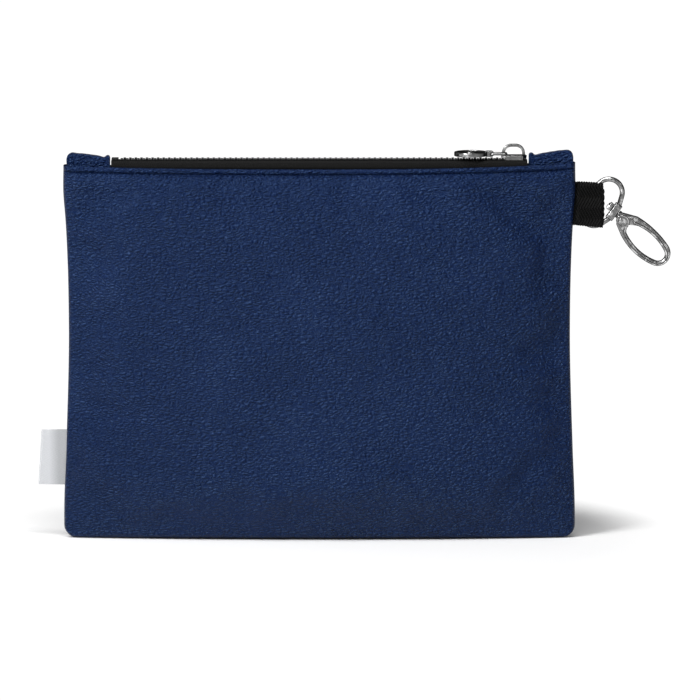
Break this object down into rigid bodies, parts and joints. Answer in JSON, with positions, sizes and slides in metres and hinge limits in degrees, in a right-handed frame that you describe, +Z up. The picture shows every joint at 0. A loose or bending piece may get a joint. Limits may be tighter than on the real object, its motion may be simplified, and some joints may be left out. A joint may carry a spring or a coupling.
{
  "type": "cash deposit bag",
  "caption": "padded leather zip pouch for cash, with a sliding zipper pull, a webbing loop, a ring and a swivel snap hook at one top corner and a folded label in the side seam",
  "frame": {"origin": "on the floor under the middle of the pouch, in the plane between the front and back panels", "axes": "+X across the pouch to the side with the webbing loop and hook, -Y out of the front face, +Z up to the zipper"},
  "size_m": [0.2838, 0.0336, 0.1789],
  "materials": {
    "navy_leather": "satin pebbled grain",
    "foam": "matt open-cell foam",
    "lining_cloth": "matt woven",
    "zipper_cloth": "matt herringbone tape",
    "zipper_metal": "antique nickel",
    "dark_nickel": "polished antique nickel with darkened recesses",
    "spring_steel": "drawn wire",
    "black_webbing": "herringbone weave",
    "satin_ribbon": "woven satin"
  },
  "bodies": {
    "pouch": {"front_panel": "navy_leather", "back_panel": "navy_leather", "front_padding": "foam", "back_padding": "foam", "front_lining": "lining_cloth", "back_lining": "lining_cloth", "front_zipper_tape": "zipper_cloth", "back_zipper_tape": "zipper_cloth", "front_zipper_teeth": "zipper_metal", "back_zipper_teeth": "zipper_metal", "zipper_bottom_stop": "zipper_metal", "zipper_top_stops": "zipper_metal", "left_end_tab": "navy_leather", "right_end_tab": "navy_leather"},
    "slider": {"slider_body": "dark_nickel", "slider_bail": "dark_nickel"},
    "link": {"pull_link": "dark_nickel"},
    "pull": {"pull_medallion": "dark_nickel"},
    "webbing": {"webbing_loop": "black_webbing"},
    "ring": {"d_ring": "dark_nickel"},
    "hook": {"hook_frame": "dark_nickel", "swivel_head": "dark_nickel", "gate_rivet": "dark_nickel", "gate_spring": "spring_steel"},
    "gate": {"hook_gate": "dark_nickel"},
    "label": {"side_label": "satin_ribbon"}
  },
  "joints": [
    {"name": "slider_travel", "type": "slide", "parent": "pouch", "child": "slider", "axis": [1, 0, 0], "range_m": [-0.154, 0], "deforming": ["front_zipper_teeth", "back_zipper_teeth"]},
    {"name": "link_swing", "type": "hinge", "parent": "slider", "child": "link", "pos_m": [0.084, 0, 0.1744], "axis": [0, 1, 0], "range_deg": [0, 120]},
    {"name": "pull_swing", "type": "hinge", "parent": "link", "child": "pull", "pos_m": [0.0772, 0, 0.1744], "axis": [0, 1, 0], "range_deg": [-2, 60]},
    {"name": "webbing_flex", "type": "hinge", "parent": "pouch", "child": "webbing", "pos_m": [0.1157, 0, 0.1535], "axis": [0, 0, 1], "range_deg": [-20, 20], "stiffness_Nm_per_rad": 0.01},
    {"name": "ring_tilt", "type": "hinge", "parent": "webbing", "child": "ring", "pos_m": [0.1255, 0, 0.1518], "axis": [0, 1, 0], "range_deg": [-15, 2]},
    {"name": "hook_swivel", "type": "hinge", "parent": "ring", "child": "hook", "pos_m": [0.13295, 0, 0.1487], "axis": [0.7337, 0, -0.6794], "continuous": true},
    {"name": "gate_pivot", "type": "hinge", "parent": "hook", "child": "gate", "pos_m": [0.13643, 0, 0.14385], "axis": [0, -1, 0], "range_deg": [0, 20], "stiffness_Nm_per_rad": 0.05},
    {"name": "label_flex", "type": "hinge", "parent": "pouch", "child": "label", "pos_m": [-0.1157, 0, 0.0365], "axis": [0, 0, 1], "range_deg": [-60, 60], "stiffness_Nm_per_rad": 0.002}
  ]
}
